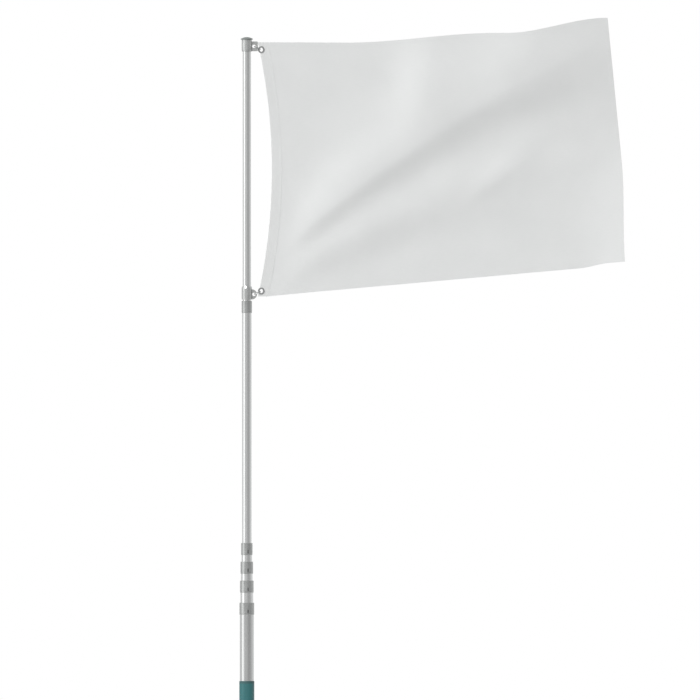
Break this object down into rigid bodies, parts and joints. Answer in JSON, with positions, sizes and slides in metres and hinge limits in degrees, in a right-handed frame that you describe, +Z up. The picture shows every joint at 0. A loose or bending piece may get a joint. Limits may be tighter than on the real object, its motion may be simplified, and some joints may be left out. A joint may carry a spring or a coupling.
{
  "type": "telescopic flagpole",
  "caption": "Telescopic round flagpole with locking collars, a plastic ground sleeve, and a plain flag on two turning rings.",
  "frame": {"origin": "centre of the ground sleeve's bottom face", "axes": "+Z up along the pole, +X towards the flag's fly end as seen from the front, +Y away from the viewer"},
  "size_m": [1.3895, 0.7736, 2.99],
  "materials": {
    "sleeve_green": "smooth dark teal-green plastic",
    "sleeve_rim": "darker moulded plastic",
    "tube": "drawn satin aluminium",
    "collar": "mid-grey moulded plastic, satin",
    "cap": "dark grey moulded plastic",
    "ring": "grey moulded plastic, satin",
    "hook": "grey metal wire",
    "eyelet": "pressed steel, satin",
    "header_cloth": "white woven tape",
    "flag_cloth": "plain white woven polyester"
  },
  "bodies": {
    "base": {"ground_sleeve": "sleeve_green", "sleeve_rim": "sleeve_rim", "sleeve_plug": "sleeve_rim", "section_1": "tube", "collar_1": "collar"},
    "second_tube": {"section_2": "tube", "collar_2": "collar"},
    "third_tube": {"section_3": "tube", "collar_3": "collar"},
    "fourth_tube": {"section_4": "tube", "collar_4": "collar"},
    "upper_tubes": {"section_5": "tube", "collar_5": "collar", "section_6": "tube", "top_cap": "cap"},
    "flag_swivel": {"upper_ring": "ring", "lower_ring": "ring", "upper_hook": "hook", "lower_hook": "hook", "upper_eyelet": "eyelet", "lower_eyelet": "eyelet", "flag_header": "header_cloth", "flag": "flag_cloth"}
  },
  "joints": [
    {"name": "slide_2", "type": "slide", "parent": "base", "child": "second_tube", "axis": [0, 0, 1], "range_m": [0, 0.8]},
    {"name": "slide_3", "type": "slide", "parent": "second_tube", "child": "third_tube", "axis": [0, 0, 1], "range_m": [0, 0.8]},
    {"name": "slide_4", "type": "slide", "parent": "third_tube", "child": "fourth_tube", "axis": [0, 0, 1], "range_m": [0, 0.8]},
    {"name": "slide_5", "type": "slide", "parent": "fourth_tube", "child": "upper_tubes", "axis": [0, 0, 1], "range_m": [-0.8, 0]},
    {"name": "flag_turn", "type": "hinge", "parent": "upper_tubes", "child": "flag_swivel", "pos_m": [0, 0, 2.43], "axis": [0, 0, 1], "continuous": true}
  ]
}
